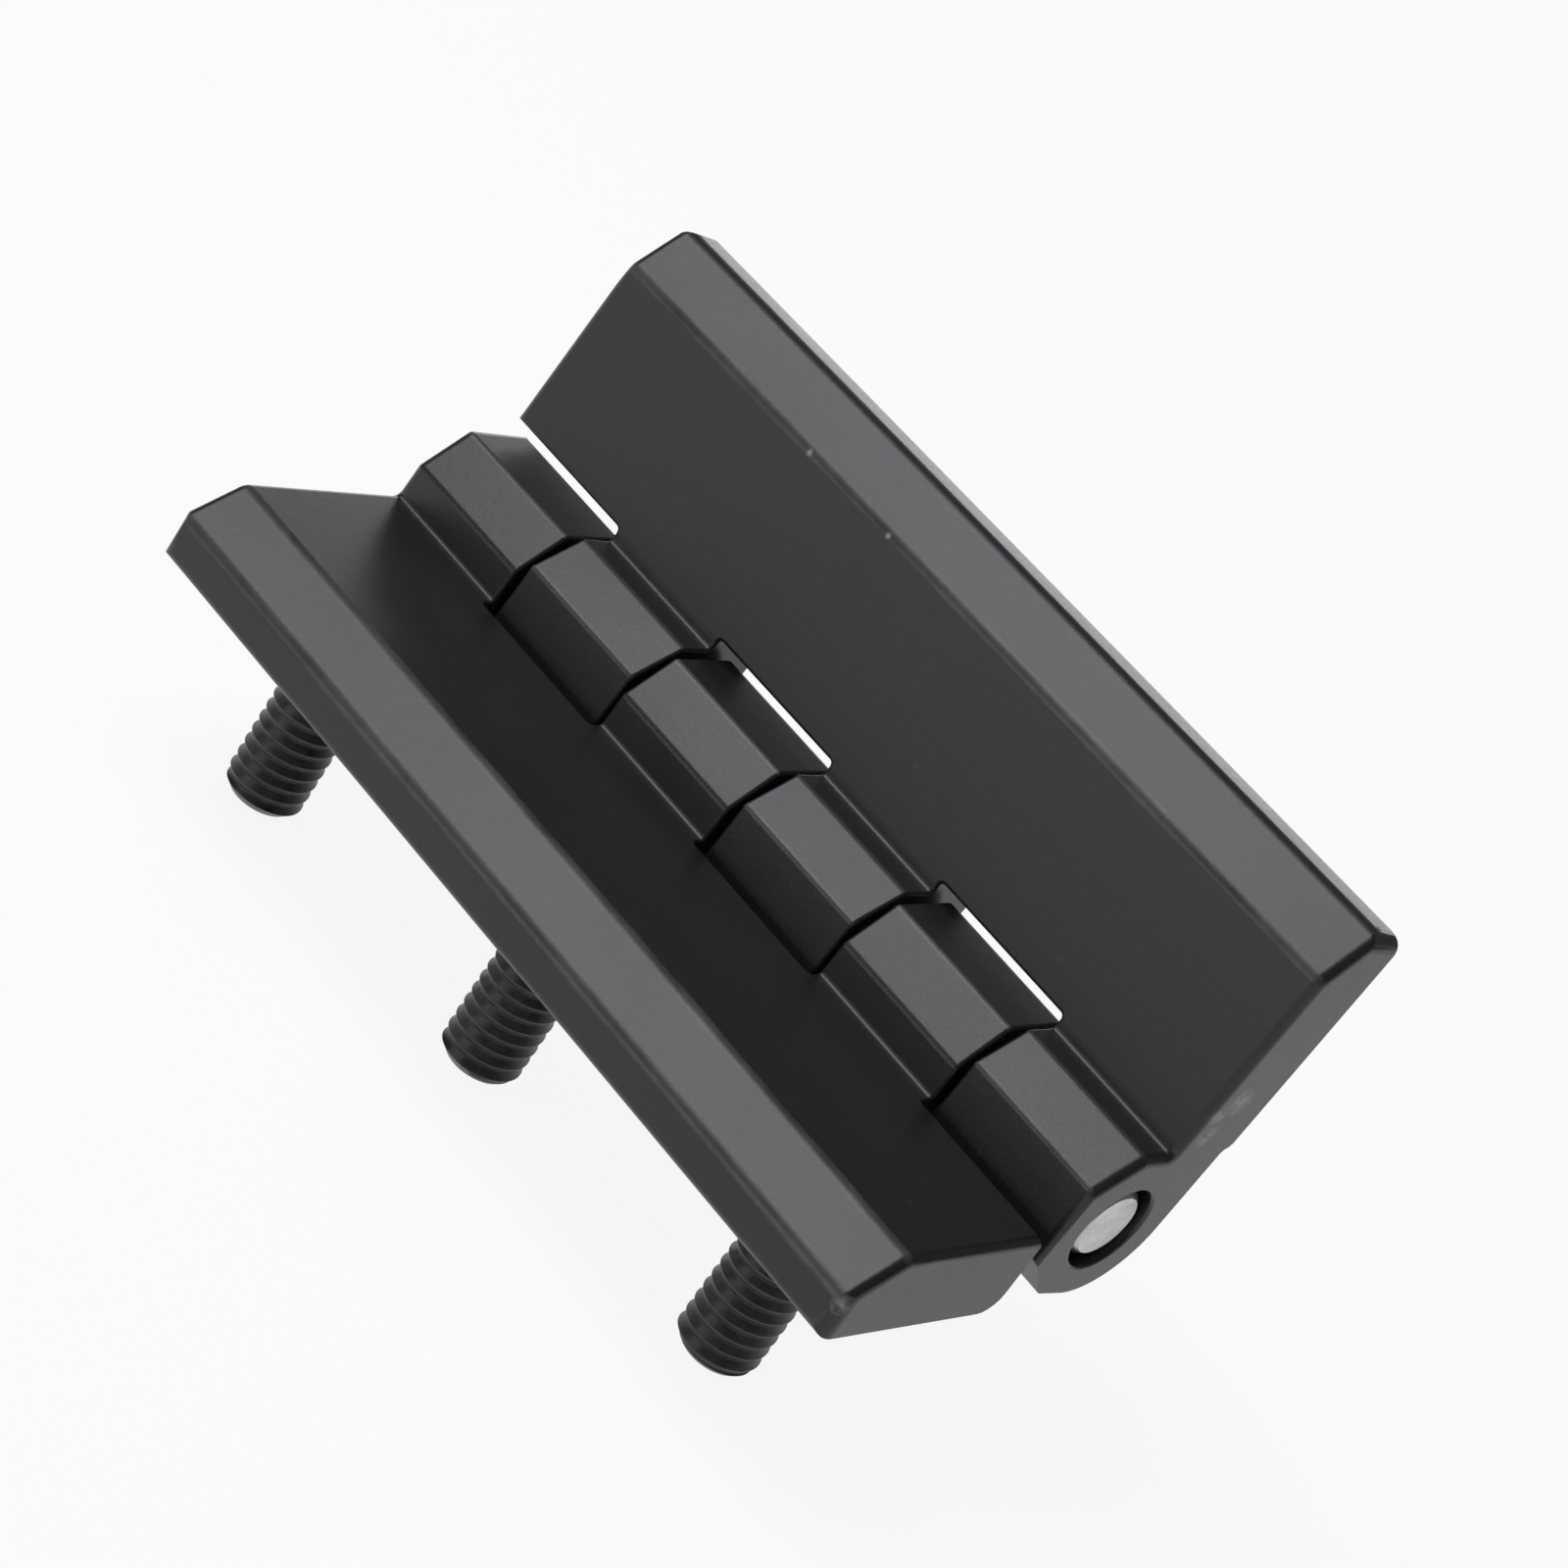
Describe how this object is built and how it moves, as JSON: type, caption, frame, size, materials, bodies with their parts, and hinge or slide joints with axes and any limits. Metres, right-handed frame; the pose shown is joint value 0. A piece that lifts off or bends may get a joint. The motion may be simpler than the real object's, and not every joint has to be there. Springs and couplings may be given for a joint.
{
  "type": "cabinet hinge",
  "caption": "Heavy cast black cabinet hinge: leaves with faceted interleaved knuckles turn on a steel pin and mount from behind by threaded studs.",
  "frame": {"origin": "middle of the fixed leaf's stud row, where the middle stud leaves the mounting face", "axes": "+Z is the fixed leaf's upward normal, away from its studs; +Y runs along the hinge axis toward the end where the fixed leaf has its knuckle; the fixed leaf reaches toward -X"},
  "size_m": [0.0626, 0.1, 0.0594],
  "materials": {
    "leaf_coat": "satin black coating on a zinc casting",
    "pin_steel": "bright zinc-plated steel",
    "stud_black": "semi-gloss blackened steel"
  },
  "bodies": {
    "fixed": {"fixed_leaf": "leaf_coat", "hinge_pin": "pin_steel", "fixed_stud_1": "stud_black", "fixed_stud_2": "stud_black", "fixed_stud_3": "stud_black"},
    "moving": {"moving_leaf": "leaf_coat", "moving_stud_1": "stud_black", "moving_stud_2": "stud_black", "moving_stud_3": "stud_black"}
  },
  "joints": [
    {"name": "leaf_fold", "type": "hinge", "parent": "fixed", "child": "moving", "pos_m": [0.02, 0, 0.0086], "axis": [0, -1, 0], "range_deg": [-83.7, 96.3]}
  ]
}
